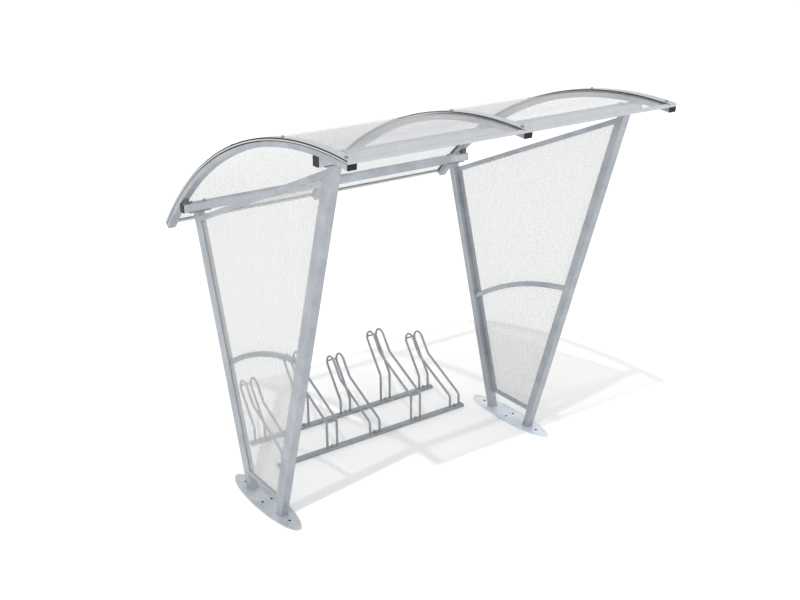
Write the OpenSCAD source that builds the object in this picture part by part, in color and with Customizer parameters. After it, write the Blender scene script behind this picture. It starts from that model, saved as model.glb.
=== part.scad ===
// Bike shelter with a curved cellular roof, two leaning side frames and a five-place bike rack.
// Lengths are in millimetres. X runs along the shelter, Y from the front to the back and Z up.
// The origin is on the ground under the middle of the shelter.

/* [Overall] */
// Length over the end caps of the purlins
shelter_length = 2100; // [1900:10:2600]
// Depth of the roof from its front edge to its rear edge
shelter_depth = 2072; // [1960:4:2160]
// Height of the roof at its crown
shelter_height = 2345; // [2250:5:2600]

/* [Roof arches] */
// Radius of the upper face of the arches
arch_radius = 2380; // [2300:10:2700]
// Distance of the crown in front of the middle of the front purlin
crown_lead = 0; // [-20:1:30]
// Width of an arch tube
arch_width = 50; // [40:2:60]
// Height of an arch tube
arch_height = 30; // [25:1:40]
// Wall of an arch tube
arch_wall = 2.5; // [1.5:0.5:4]
// Distance from the end of the purlins to the outer face of the end arches
arch_inset = 1; // [0:0.5:20]

/* [Roof glazing] */
// Thickness of a roof sheet
roof_sheet_t = 10; // [6:1:16]
// Thickness of the gaskets under and over the sheets
gasket_t = 2; // [1:0.5:4]
// Thickness of a cover strip
strip_t = 3; // [2:0.5:5]
// Gap between the two sheets over the middle arch
bay_gap = 8; // [4:1:14]
// Setback of the sheets from the outer face of the end arches
sheet_setback = 1; // [0:0.5:5]
// Depth of the profiles that close the front and rear edges of the sheets
edge_depth = 20; // [14:1:30]

/* [Purlins] */
// Width and height of a purlin
purlin_size = 50; // [40:2:60]
// Wall of a purlin
purlin_wall = 3; // [2:0.5:4]
// Distance from the front edge of the roof to the middle of the front purlin
front_overhang = 273; // [240:1:300]
// Distance from the rear edge of the roof to the middle of the rear purlin
rear_overhang = 260; // [236:2:290]
// Width of the wedges between the rear purlin and the arches
wedge_width = 30; // [20:1:50]

/* [Side frames] */
// Distance from the end of the purlins to the middle of a side frame
frame_inset = 105; // [85:1:200]
// Width and depth of a post
post_size = 50; // [40:2:60]
// Wall of a post
post_wall = 3; // [2:0.5:4]
// Distance of the front foot in front of the middle of the depth
front_foot_y = 62; // [20:2:120]
// Distance of the rear foot behind the middle of the depth
rear_foot_y = 303; // [250:1:360]
// Outer corner radius of the posts and purlins
corner_r = 5; // [2:0.5:8]
// Width of the bolting plate on top of a post
top_plate_width = 140; // [90:2:170]
// Depth of the bolting plate on top of a post
top_plate_depth = 56; // [54:1:70]
// Thickness of the bolting plate on top of a post
top_plate_t = 5; // [4:0.5:8]

/* [Base plates] */
// Length of an oval base plate
plate_length = 756; // [680:4:900]
// Width of an oval base plate
plate_width = 164; // [140:2:200]
// Thickness of a base plate
plate_t = 10; // [6:1:15]
// Distance between the anchor holes at the ends of a plate
anchor_span = 540; // [520:2:560]
// Distance between the anchor holes across the middle of a plate
anchor_cross = 60; // [50:2:80]
// Diameter of an anchor hole
anchor_d = 14; // [10:1:18]

/* [Side panels] */
// Thickness of a side sheet
side_sheet_t = 10; // [6:1:12]
// Wall of the glazing channels
channel_wall = 3; // [2:0.5:4]
// Depth of the channels on the posts
channel_depth = 28; // [14:1:34]
// Depth of the channel along the top
top_bar_depth = 28; // [20:1:40]
// Depth of the channel along the bottom
bottom_bar_depth = 24; // [16:1:36]
// Setback of the channels from the outer face of the posts
channel_setback = 2; // [1:0.5:8]
// Height of the underside of the bottom channel
bottom_bar_z = 113; // [60:1:200]
// Drop of the top channel below the purlins
top_bar_drop = 30; // [10:1:80]
// Height of the arched crossbar at the rear post
crossbar_rear_z = 770; // [600:5:900]
// Height of the arched crossbar at the front post
crossbar_front_z = 1085; // [950:5:1200]
// Rise of the arched crossbar over the line between its ends
crossbar_rise = 55; // [30:1:90]
// Width of the arched crossbar
crossbar_width = 20; // [12:1:24]
// Height of the arched crossbar
crossbar_height = 30; // [20:1:40]
// Wall of the arched crossbar
crossbar_wall = 2; // [1.5:0.5:3]

/* [Bike rack] */
// Distance of the middle of the rack from the middle of the shelter
rack_offset = 45; // [-80:5:80]
// Length of the rack rails
rack_length = 1460; // [1440:10:1560]
// Width of a rail
rail_width = 40; // [30:1:50]
// Height of a rail
rail_height = 20; // [15:1:30]
// Wall of a rail
rail_wall = 2; // [1.5:0.5:3]
// Outer corner radius of a rail
rail_corner_r = 3; // [2:0.5:5]
// Distance of the front rail behind the middle of the depth
rack_front_y = 437; // [420:1:460]
// Distance of the rear rail behind the middle of the depth
rack_rear_y = 800; // [780:1:830]
// Distance from one wheel holder to the next
holder_pitch = 333; // [300:1:340]
// Distance between the two hoops of a holder
hoop_spacing = 75; // [60:1:90]
// Diameter of the bent rods
rod_d = 16; // [12:1:18]
// Height of the front bend of a low holder
front_bend_z = 102; // [85:1:120]
// Height of the rear bend of a low holder
rear_bend_z = 115; // [95:1:130]
// Height of the bend in the sloping front of a low holder
slope_bend_z = 281; // [265:1:300]
// Height of the centre of the end loop of a low holder
loop_z = 358; // [345:1:400]
// How much higher the high holders are
high_lift = 100; // [60:5:160]
// Radius of the end loop, on the middle of the rod
loop_radius = 50; // [40:1:55]
// Radius of the other bends, on the middle of the rod
bend_radius = 35; // [20:1:40]
// Slope of the rear leg of a hoop, in degrees
leg_angle = 54.5; // [50:0.5:60]
// Diameter of the links between the hoops
link_d = 12; // [8:1:14]

/* [Hidden] */

// How far a cut runs past the piece that it cuts
overrun = 20;
// Clearance between a piece and the seat that holds it
seat_gap = 0.3;
// How much thinner a rod is in its bends, and how far a bend goes into the straight rods
bend_thinning = 0.4;
bend_lap = 1;
// Thickness of the flange of a plastic end cap
cap_flange = 4;
// How far the plug of an end cap goes into its tube
cap_plug = 18;
// Corner radius of the arch tubes
arch_corner_r = 3;
// Facets of a large arc, of a small round, of the bevelled corners of the crossbar,
// of an oval outline, and of a rod and its bends
arc_facets = 360;
round_facets = 32;
bevel_facets = 8;
oval_facets = 72;
rod_facets = 24;
bend_facets = 60;

left = -1;
right = 1;
steel = [0.70, 0.73, 0.77];
dark_steel = [0.50, 0.53, 0.57];
clear_sheet = [0.90, 0.92, 0.94, 0.45];
black_plastic = [0.12, 0.12, 0.13];
dark_rubber = [0.22, 0.22, 0.24];
pale_aluminium = [0.80, 0.83, 0.86];

// Roof radii from the underside of the arches to the top of the cover strips
arch_inner_r = arch_radius - arch_height;
sheet_inner_r = arch_radius + gasket_t;
sheet_outer_r = sheet_inner_r + roof_sheet_t;
strip_inner_r = sheet_outer_r + gasket_t;
strip_outer_r = strip_inner_r + strip_t;
front_y = front_overhang - shelter_depth / 2;
rear_y = shelter_depth / 2 - rear_overhang;
crown_y = front_y - crown_lead;
centre_z = shelter_height - strip_outer_r;
// Angles are measured from the crown, towards the rear
front_angle = asin((-shelter_depth / 2 - crown_y) / strip_outer_r);
rear_angle = asin((shelter_depth / 2 - crown_y) / strip_outer_r);
arch_x = shelter_length / 2 - arch_inset - arch_width / 2;

// Purlins under the arches
flat_reach = max(abs(front_y - crown_y - purlin_size / 2 + corner_r),
                 abs(front_y - crown_y + purlin_size / 2 - corner_r));
front_purlin_top = centre_z + sqrt(pow(arch_inner_r, 2) - pow(flat_reach, 2));
rear_corner_y = rear_y + purlin_size / 2 - corner_r;
rear_corner_z = centre_z + sqrt(pow(arch_inner_r - corner_r, 2) - pow(rear_corner_y - crown_y, 2));
rear_purlin_top = rear_corner_z + corner_r;
front_post_top = front_purlin_top - purlin_size;
rear_post_top = rear_purlin_top - purlin_size;

// Side frames
frame_x = shelter_length / 2 - frame_inset;
front_lean = atan((-front_y - front_foot_y) / (front_post_top - plate_t));
rear_lean = atan((rear_y - rear_foot_y) / (rear_post_top - plate_t));
plate_y = (rear_foot_y - front_foot_y) / 2;
channel_width = side_sheet_t + 2 * seat_gap + 2 * channel_wall;
channel_outer_x = frame_x + post_size / 2 - channel_setback;
channel_inner_x = channel_outer_x - channel_width;
crossbar_inner_x = channel_inner_x - crossbar_width;

// Bike rack
rack_holders = 5;

function angle_of(arc, radius) = 180 * arc / (PI * radius);

// A line in the side plane as the normal that points into the opening, and its distance
function line_at(point, normal) = [normal.x, normal.y, point.x * normal.x + point.y * normal.y];

// Crossing of two lines that are moved inwards by their offsets
function meet(a, offset_a, b, offset_b) =
    let (det = a[0] * b[1] - a[1] * b[0], ca = a[2] + offset_a, cb = b[2] + offset_b)
    [(ca * b[1] - a[1] * cb) / det, (a[0] * cb - ca * b[0]) / det];

// Strip along one line between two others
function band(side, near, far, a, offset_a, b, offset_b) = [
    meet(side, near, a, offset_a), meet(side, near, b, offset_b),
    meet(side, far, b, offset_b), meet(side, far, a, offset_a)
];

// Four lines that bound the opening between the posts of a side frame
front_line = let (n = [cos(front_lean), sin(front_lean)])
    line_at([-front_foot_y, plate_t] + n * post_size / 2, n);
rear_line = let (n = [-cos(rear_lean), sin(rear_lean)])
    line_at([rear_foot_y, plate_t] + n * post_size / 2, n);
bottom_line = line_at([0, bottom_bar_z], [0, 1]);
top_front = meet(front_line, 0, line_at([0, front_post_top - top_bar_drop], [0, 1]), 0);
top_rear = meet(rear_line, 0, line_at([0, rear_post_top - top_bar_drop], [0, 1]), 0);
top_slope = atan2(top_front.y - top_rear.y, top_rear.x - top_front.x);
top_line = line_at(top_front, [-sin(top_slope), -cos(top_slope)]);

// Arched crossbar: ends on the posts, and one circle through its ends and its rise
bar_front = meet(front_line, 0, line_at([0, crossbar_front_z], [0, 1]), 0);
bar_rear = meet(rear_line, 0, line_at([0, crossbar_rear_z], [0, 1]), 0);
bar_chord = norm(bar_rear - bar_front);
bar_radius = (pow(bar_chord / 2, 2) + pow(crossbar_rise, 2)) / (2 * crossbar_rise);
bar_slope = atan2(bar_front.y - bar_rear.y, bar_rear.x - bar_front.x);
bar_centre = (bar_front + bar_rear) / 2
    - [sin(bar_slope), cos(bar_slope)] * (bar_radius - crossbar_rise);
bar_half_angle = asin(bar_chord / 2 / bar_radius) + angle_of(overrun, bar_radius);

// Puts what is drawn in X and Y into the side plane, with its thickness along X
module in_side_plane() {
    rotate([90, 0, 90]) children();
}

module on_side(side) {
    if (side == right) children();
    else mirror([1, 0, 0]) children();
}

module rounded_rect(w, h, r, facets = round_facets) {
    square([w, h - 2 * r], center = true);
    square([w - 2 * r, h], center = true);
    for (sx = [-1, 1], sy = [-1, 1])
        translate([sx * (w / 2 - r), sy * (h / 2 - r)]) circle(r, $fn = facets);
}

module tube_section(w, h, wall, r, facets = round_facets) {
    difference() {
        rounded_rect(w, h, r, facets);
        rounded_rect(w - 2 * wall, h - 2 * wall, max(r - wall, wall / 2), facets);
    }
}

// Turns a section about the centre of the roof, from one angle to another
module roof_sweep(from_angle, to_angle) {
    translate([0, crown_y, centre_z]) in_side_plane()
        rotate([0, 0, 90 - to_angle])
            rotate_extrude(angle = to_angle - from_angle, $fn = arc_facets) children();
}

module roof_layer(inner_r, outer_r, from_angle, to_angle, x_low, x_high) {
    roof_sweep(from_angle, to_angle)
        translate([inner_r, x_low]) square([outer_r - inner_r, x_high - x_low]);
}

// A flat piece in the side plane, between two places along X
module side_slab(points, x_low, x_high) {
    translate([x_low, 0, 0]) in_side_plane() linear_extrude(x_high - x_low) polygon(points);
}

// Channel that opens into the side frame, between two other lines
module side_channel(side, depth, a, offset_a, b, offset_b) {
    difference() {
        side_slab(band(side, 0, depth, a, offset_a, b, offset_b), channel_inner_x, channel_outer_x);
        side_slab(band(side, channel_wall, depth + overrun, a, offset_a - overrun, b, offset_b - overrun),
                  channel_inner_x + channel_wall, channel_outer_x - channel_wall);
    }
}

module oval_plate(side) {
    color(steel) on_side(side) translate([frame_x, plate_y, 0]) difference() {
        linear_extrude(plate_t) polygon([for (i = [0:oval_facets - 1])
            let (a = 360 * i / oval_facets) [plate_width / 2 * cos(a), plate_length / 2 * sin(a)]]);
        for (s = [-1, 1]) {
            translate([0, s * anchor_span / 2, -overrun])
                cylinder(h = plate_t + 2 * overrun, d = anchor_d, $fn = round_facets);
            translate([s * anchor_cross / 2, 0, -overrun])
                cylinder(h = plate_t + 2 * overrun, d = anchor_d, $fn = round_facets);
        }
    }
}

// Leaning tube that stands on the base plate and runs half way into its bolting plate
module leaning_post(side, foot_y, lean, top_y, top_z) {
    color(steel) on_side(side) {
        intersection() {
            translate([frame_x, foot_y, plate_t]) rotate([lean, 0, 0]) translate([0, 0, -post_size])
                linear_extrude(top_z / cos(lean) + 2 * post_size)
                    tube_section(post_size, post_size, post_wall, corner_r);
            translate([frame_x - post_size, -shelter_depth / 2, plate_t])
                cube([2 * post_size, shelter_depth, top_z - plate_t - top_plate_t / 2]);
        }
        translate([frame_x, top_y, top_z - top_plate_t / 2])
            cube([top_plate_width, top_plate_depth, top_plate_t], center = true);
    }
}

module purlin(y, top_z) {
    half = shelter_length / 2 - cap_flange;
    color(steel) translate([-half, y, top_z - purlin_size / 2]) in_side_plane()
        linear_extrude(2 * half) tube_section(purlin_size, purlin_size, purlin_wall, corner_r);
}

module purlin_caps(y, top_z) {
    plug_size = purlin_size - 2 * purlin_wall - 2 * seat_gap;
    color(black_plastic) for (side = [left, right])
        on_side(side) translate([shelter_length / 2, y, top_z - purlin_size / 2]) rotate([0, 0, 180])
            in_side_plane() {
                linear_extrude(cap_flange) rounded_rect(purlin_size, purlin_size, corner_r);
                linear_extrude(cap_flange + cap_plug)
                    rounded_rect(plug_size, plug_size, max(corner_r - purlin_wall, purlin_wall / 2));
            }
}

module roof_arch(x) {
    color(steel) translate([x, 0, 0])
        roof_sweep(front_angle + angle_of(cap_flange, arch_radius), rear_angle)
            translate([arch_radius - arch_height / 2, 0])
                tube_section(arch_height, arch_width, arch_wall, arch_corner_r);
}

module arch_end_caps() {
    plug_angle = angle_of(cap_flange + cap_plug, arch_radius);
    play = 2 * arch_wall + 2 * seat_gap;
    color(black_plastic) for (x = [-arch_x, 0, arch_x]) translate([x, 0, 0]) {
        roof_sweep(front_angle, front_angle + angle_of(cap_flange, arch_radius))
            translate([arch_radius - arch_height / 2, 0])
                rounded_rect(arch_height, arch_width, arch_corner_r);
        roof_sweep(front_angle, front_angle + plug_angle)
            translate([arch_radius - arch_height / 2, 0])
                rounded_rect(arch_height - play, arch_width - play, arch_wall / 2);
    }
}

// Wedges that fill the space between the rear purlin and the underside of the arches
module rear_wedges() {
    wedge_y = purlin_size - 2 * corner_r;
    color(dark_rubber) for (x = [-arch_x, 0, arch_x]) translate([x, 0, 0]) intersection() {
        translate([-wedge_width / 2, rear_y - wedge_y / 2, rear_purlin_top])
            cube([wedge_width, wedge_y, 2 * purlin_size]);
        translate([-wedge_width, crown_y, centre_z]) in_side_plane()
            cylinder(h = 2 * wedge_width, r = arch_inner_r, $fn = arc_facets);
    }
}

// Lower and upper gasket of one arch, with the sheets between them
module gaskets(x) {
    start = front_angle + angle_of(edge_depth, arch_radius);
    half = arch_width / 2;
    color(dark_rubber) {
        roof_layer(arch_radius, sheet_inner_r, start, rear_angle, x - half, x + half);
        roof_layer(sheet_outer_r, strip_inner_r, start, rear_angle, x - half, x + half);
    }
}

module roof_sheet(side) {
    wall = angle_of(gasket_t + seat_gap, arch_radius);
    color(clear_sheet) on_side(side)
        roof_layer(sheet_inner_r, sheet_outer_r, front_angle + wall, rear_angle - wall,
                   bay_gap / 2, arch_x + arch_width / 2 - sheet_setback);
}

// Profile round the front edge of a sheet
module front_edge(side) {
    x_low = seat_gap;
    x_high = arch_x + arch_width / 2;
    wall = angle_of(gasket_t, arch_radius);
    depth = angle_of(edge_depth, arch_radius);
    color(pale_aluminium) on_side(side) difference() {
        roof_layer(arch_radius, strip_inner_r, front_angle, front_angle + depth, x_low, x_high);
        roof_layer(sheet_inner_r, sheet_outer_r, front_angle + wall, front_angle + 2 * depth,
                   x_low - overrun, x_high + overrun);
    }
}

// Profile round the rear edge of a sheet, between two arches
module rear_edge(side) {
    x_low = arch_width / 2 + seat_gap;
    x_high = arch_x - arch_width / 2 - seat_gap;
    wall = angle_of(gasket_t, arch_radius);
    depth = angle_of(edge_depth, arch_radius);
    color(pale_aluminium) on_side(side) difference() {
        roof_layer(arch_radius, strip_inner_r, rear_angle - depth, rear_angle, x_low, x_high);
        roof_layer(sheet_inner_r, sheet_outer_r, rear_angle - 2 * depth, rear_angle - wall,
                   x_low - overrun, x_high + overrun);
    }
}

module cover_strip(x) {
    color(pale_aluminium)
        roof_layer(strip_inner_r, strip_outer_r, front_angle, rear_angle,
                   x - arch_width / 2, x + arch_width / 2);
}

module side_top_bar(side) {
    color(steel) on_side(side)
        side_channel(top_line, top_bar_depth, front_line, 0, rear_line, 0);
}

module side_bottom_bar(side) {
    color(steel) on_side(side)
        side_channel(bottom_line, bottom_bar_depth, front_line, 0, rear_line, 0);
}

module side_channels(side) {
    color(steel) on_side(side) for (line = [front_line, rear_line])
        side_channel(line, channel_depth, top_line, top_bar_depth, bottom_line, bottom_bar_depth);
}

module side_panel(side) {
    edge = channel_wall + seat_gap;
    color(clear_sheet) on_side(side) side_slab([
        meet(front_line, edge, bottom_line, edge), meet(rear_line, edge, bottom_line, edge),
        meet(rear_line, edge, top_line, edge), meet(front_line, edge, top_line, edge)
    ], channel_inner_x + edge, channel_outer_x - edge);
}

module side_arched_bar(side) {
    color(steel) on_side(side) intersection() {
        translate([crossbar_inner_x + crossbar_width / 2, bar_centre.x, bar_centre.y])
            in_side_plane() rotate([0, 0, 90 - bar_slope - bar_half_angle])
                rotate_extrude(angle = 2 * bar_half_angle, $fn = arc_facets)
                    translate([bar_radius, 0])
                        tube_section(crossbar_height, crossbar_width, crossbar_wall, arch_corner_r,
                                     bevel_facets);
        side_slab(band(bottom_line, 0, front_post_top, front_line, 0, rear_line, 0),
                  crossbar_inner_x - overrun, channel_inner_x + overrun);
    }
}

module rack_rail(y) {
    color(dark_steel) translate([rack_offset - rack_length / 2, y, rail_height / 2]) in_side_plane()
        linear_extrude(rack_length) tube_section(rail_width, rail_height, rail_wall, rail_corner_r);
}

function unit(v) = v / norm(v);
function turn_at(path, i) = acos(unit(path[i] - path[i - 1]) * unit(path[i + 1] - path[i]));
function trim_at(path, i) = bend_radius * tan(turn_at(path, i) / 2);
function bend_centre(path, i) = path[i] + bend_radius / cos(turn_at(path, i) / 2)
    * unit(unit(path[i - 1] - path[i]) + unit(path[i + 1] - path[i]));

// Bend of a rod about a centre, as far to the one side of its middle as to the other
module rod_bend(centre, radius, middle, turn) {
    reach = turn + 2 * angle_of(bend_lap, radius);
    translate(centre) rotate([0, 0, middle - reach / 2])
        rotate_extrude(angle = reach, $fn = bend_facets)
            translate([radius, 0]) circle(d = rod_d - bend_thinning, $fn = rod_facets);
}

// Round rod along a path in the side plane, bent at its inner points
module bent_rod(path) {
    last = len(path) - 1;
    for (i = [0:last - 1]) {
        along = unit(path[i + 1] - path[i]);
        start = path[i] + along * (i == 0 ? 0 : trim_at(path, i));
        end = path[i + 1] - along * (i == last - 1 ? 0 : trim_at(path, i + 1));
        translate(start) rotate([0, 0, atan2(along.y, along.x)]) rotate([0, 90, 0])
            cylinder(h = norm(end - start), d = rod_d, $fn = rod_facets);
    }
    for (i = [1:last - 1]) {
        centre = bend_centre(path, i);
        outward = path[i] - centre;
        rod_bend(centre, bend_radius, atan2(outward.y, outward.x), turn_at(path, i));
    }
}

// Round link between the two hoops of a holder, at a point of the side plane
module rod_link(point) {
    translate([point.x, point.y, -hoop_spacing / 2])
        cylinder(h = hoop_spacing, d = link_d, $fn = rod_facets);
}

// Two hoops with a link behind the loops, and on a high holder one at the front bends too
module rack_holder(number) {
    lift = number % 2 == 0 ? high_lift : 0;
    up = [cos(leg_angle), sin(leg_angle)];
    across = [-sin(leg_angle), cos(leg_angle)];
    rear_bend = [rack_rear_y, rear_bend_z + lift];
    leg = (loop_z - rear_bend_z - loop_radius * across.y) / up.y;
    loop_centre = rear_bend + up * leg + across * loop_radius;
    slope_end = loop_centre + across * loop_radius;
    slope_bend = slope_end - up * (slope_end.y - slope_bend_z - lift) / up.y;
    front_bend = [rack_front_y, front_bend_z + lift];
    front_path = [[rack_front_y, rail_height], front_bend, slope_bend, slope_end];
    rear_path = [loop_centre - across * loop_radius, rear_bend, [rack_rear_y, rail_height]];
    front_centre = bend_centre(front_path, 1);
    x = rack_offset + (number - (rack_holders + 1) / 2) * holder_pitch;
    color(dark_steel) translate([x, 0, 0]) in_side_plane() {
        for (s = [-1, 1]) translate([0, 0, s * hoop_spacing / 2]) {
            bent_rod(front_path);
            rod_bend(loop_centre, loop_radius, leg_angle, 180);
            bent_rod(rear_path);
        }
        rod_link(loop_centre + [loop_radius, 0]);
        if (lift > 0) rod_link(front_centre + bend_radius * unit(front_bend - front_centre));
    }
}

module base_plate_left() { oval_plate(left); }
module base_plate_right() { oval_plate(right); }
module front_post_left() { leaning_post(left, -front_foot_y, front_lean, front_y, front_post_top); }
module front_post_right() { leaning_post(right, -front_foot_y, front_lean, front_y, front_post_top); }
module rear_post_left() { leaning_post(left, rear_foot_y, -rear_lean, rear_y, rear_post_top); }
module rear_post_right() { leaning_post(right, rear_foot_y, -rear_lean, rear_y, rear_post_top); }
module front_purlin() { purlin(front_y, front_purlin_top); }
module rear_purlin() { purlin(rear_y, rear_purlin_top); }
module front_purlin_caps() { purlin_caps(front_y, front_purlin_top); }
module rear_purlin_caps() { purlin_caps(rear_y, rear_purlin_top); }

base_plate_left();
base_plate_right();
front_post_left();
front_post_right();
rear_post_left();
rear_post_right();
front_purlin();
rear_purlin();
front_purlin_caps();
rear_purlin_caps();
side_top_bar(left);  // side_top_bar_left
side_top_bar(right);  // side_top_bar_right
side_bottom_bar(left);  // side_bottom_bar_left
side_bottom_bar(right);  // side_bottom_bar_right
side_channels(left);  // side_channels_left
side_channels(right);  // side_channels_right
side_arched_bar(left);  // side_arched_bar_left
side_arched_bar(right);  // side_arched_bar_right
side_panel(left);  // side_panel_left
side_panel(right);  // side_panel_right
roof_arch(-arch_x);  // roof_arch_left
roof_arch(0);  // roof_arch_middle
roof_arch(arch_x);  // roof_arch_right
arch_end_caps();
rear_wedges();
gaskets(-arch_x);  // gaskets_left
gaskets(0);  // gaskets_middle
gaskets(arch_x);  // gaskets_right
roof_sheet(left);  // roof_sheet_left
roof_sheet(right);  // roof_sheet_right
front_edge(left);  // front_edge_left
front_edge(right);  // front_edge_right
rear_edge(left);  // rear_edge_left
rear_edge(right);  // rear_edge_right
cover_strip(-arch_x);  // cover_strip_left
cover_strip(0);  // cover_strip_middle
cover_strip(arch_x);  // cover_strip_right
rack_rail(rack_front_y);  // rack_front_rail
rack_rail(rack_rear_y);  // rack_rear_rail
rack_holder(1);  // rack_holder_1
rack_holder(2);  // rack_holder_2
rack_holder(3);  // rack_holder_3
rack_holder(4);  // rack_holder_4
rack_holder(5);  // rack_holder_5
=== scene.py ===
"""Finishes, fixings and stage of a bike shelter, laid over its fixed frame."""
import math

import bmesh
import bpy
from bpy.props import FloatProperty, FloatVectorProperty, PointerProperty
from mathutils import Matrix, Vector
from mathutils.geometry import intersect_line_line


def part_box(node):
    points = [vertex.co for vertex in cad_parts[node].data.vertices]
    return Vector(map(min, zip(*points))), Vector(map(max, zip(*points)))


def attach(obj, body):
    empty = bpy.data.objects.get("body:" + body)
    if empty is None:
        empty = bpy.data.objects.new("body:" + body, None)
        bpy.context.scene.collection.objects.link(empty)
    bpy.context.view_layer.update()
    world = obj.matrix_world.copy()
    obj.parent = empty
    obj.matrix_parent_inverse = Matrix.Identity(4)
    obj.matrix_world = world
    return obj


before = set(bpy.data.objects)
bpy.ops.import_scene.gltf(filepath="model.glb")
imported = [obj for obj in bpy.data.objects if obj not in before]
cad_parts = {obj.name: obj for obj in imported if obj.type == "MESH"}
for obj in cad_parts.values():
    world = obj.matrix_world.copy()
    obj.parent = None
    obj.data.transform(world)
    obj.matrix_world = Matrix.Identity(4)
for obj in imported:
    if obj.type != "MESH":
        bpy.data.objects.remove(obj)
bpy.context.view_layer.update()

bl_info = {
    "name": "Bike Shelter Finish",
    "version": (1, 0, 0),
    "blender": (4, 5, 0),
    "location": "View3D > Sidebar > Shelter",
    "description": "Finishes, fixings and stage of a bike shelter with a curved cellular roof",
    "category": "Object",
}

BODY = "root"
SIDES = ("left", "right")
BAYS = ("left", "middle", "right")
MILLIMETRE = 0.001
X_AXIS = Vector((1, 0, 0))
Y_AXIS = Vector((0, 1, 0))
UP = Vector((0, 0, 1))
# Which corner of a box lies at each end along X, and the way outward there
X_ENDS = ((0, -1), (1, 1))
TURNED_STEPS = 48
ARC_STEPS = 96
BEAD_SIDES = 8
CREASE = math.radians(35)

# Painted reflection: the far base plate gets a much paler copy of the zinc coat, standing for the
# bright sky that it reflects
PAINTED_REFLECTION_STEELWORK = ["base_plate_right"]
# Painted light: a paler copy of the zinc coat on the purlins in the roof's shade, the near arched
# bar behind its sheet and the near base plate
PAINTED_LIGHT_STEELWORK = ["front_purlin", "rear_purlin", "base_plate_left", "side_arched_bar_left"]
STEELWORK = ["side_arched_bar_right"]
STEELWORK += [f"{post}_post_{side}" for post in ("front", "rear") for side in SIDES]
STEELWORK += [f"side_{bar}_{side}" for bar in ("top_bar", "bottom_bar", "channels")
              for side in SIDES]
STEELWORK += [f"roof_arch_{bay}" for bay in BAYS]
RAILS = ["rack_front_rail", "rack_rear_rail"]
HOLDERS = [f"rack_holder_{number}" for number in range(1, 6)]
SIDE_SHEETS = [f"side_panel_{side}" for side in SIDES]
ROOF_SHEETS = [f"roof_sheet_{side}" for side in SIDES]
PLASTIC = ["front_purlin_caps", "rear_purlin_caps", "arch_end_caps"]
GASKETS = [f"gaskets_{bay}" for bay in BAYS]
ALUMINIUM = [f"cover_strip_{bay}" for bay in BAYS]
ALUMINIUM += [f"{edge}_edge_{side}" for edge in ("front", "rear") for side in SIDES]


def length(name, description, default_mm):
    return FloatProperty(name=name, description=description, default=default_mm * MILLIMETRE,
                         min=0.0, unit="LENGTH", precision=4)


def colour(name, description, default):
    return FloatVectorProperty(name=name, description=description, default=default,
                               subtype="COLOR", min=0.0, max=1.0)


def share(name, description, default):
    return FloatProperty(name=name, description=description, default=default,
                         subtype="FACTOR", min=0.0, max=1.0)


def factor(name, description, default):
    return FloatProperty(name=name, description=description, default=default, min=0.0)


def angle(name, description, default_degrees):
    return FloatProperty(name=name, description=description,
                         default=math.radians(default_degrees), subtype="ANGLE")


class ShelterFinishes(bpy.types.PropertyGroup):
    """Colours and grain of the materials"""
    steel_light: colour("Steel, light", "Lightest crystals of the zinc coat", (0.465, 0.497, 0.53))
    steel_dark: colour("Steel, dark", "Darkest crystals of the zinc coat", (0.29, 0.313, 0.341))
    spangle: length("Spangle", "Size of one zinc crystal", 14)
    rack_light: colour("Rack, light", "Lightest patches of the rack", (0.42, 0.44, 0.465))
    rack_dark: colour("Rack, dark", "Darkest patches of the rack", (0.235, 0.25, 0.27))
    # Painted light: how much paler the zinc is drawn on the purlins, the near arched bar and the
    # near base plate
    painted_light_lift: factor("Bright lift", "How much paler the brighter parts are", 1.25)
    # Painted reflection: how much paler the far base plate is drawn
    painted_reflection_lift: factor("Pale lift", "How much paler the palest plate is", 1.8)
    sheet_tone: colour("Sheet", "Cellular sheet, seen by itself", (0.60, 0.605, 0.61))
    side_cover: share("Side cover", "How much one face of a side sheet hides", 0.36)
    roof_cover: share("Roof cover", "How much one face of a roof sheet hides", 0.35)
    sheet_glow: share("Sheet glow", "How much of a sheet's own light comes through it", 0.6)
    rib_pitch: length("Rib pitch", "Distance from one rib of a sheet to the next", 16)
    plastic_tone: colour("Plastic", "Moulded end caps", (0.012, 0.0125, 0.0135))
    rubber_tone: colour("Rubber", "Gaskets and lips", (0.013, 0.0135, 0.0145))
    wedge_tone: colour("Wedge", "Rubber wedges on the rear purlin", (0.13, 0.134, 0.142))
    cap_tone: colour("Rail cap", "Plastic caps on the rails of the rack", (0.20, 0.215, 0.235))
    # Painted light: the pale tape lightens the shaded hollows of the side channels
    painted_light_tape_tone: colour("Tape", "Glazing tape on the side sheets", (0.72, 0.725, 0.73))
    aluminium_tone: colour("Aluminium", "Cover strips and edge profiles", (0.56, 0.575, 0.60))
    zinc_tone: colour("Zinc", "Bolts, nuts and washers", (0.50, 0.52, 0.55))


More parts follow.
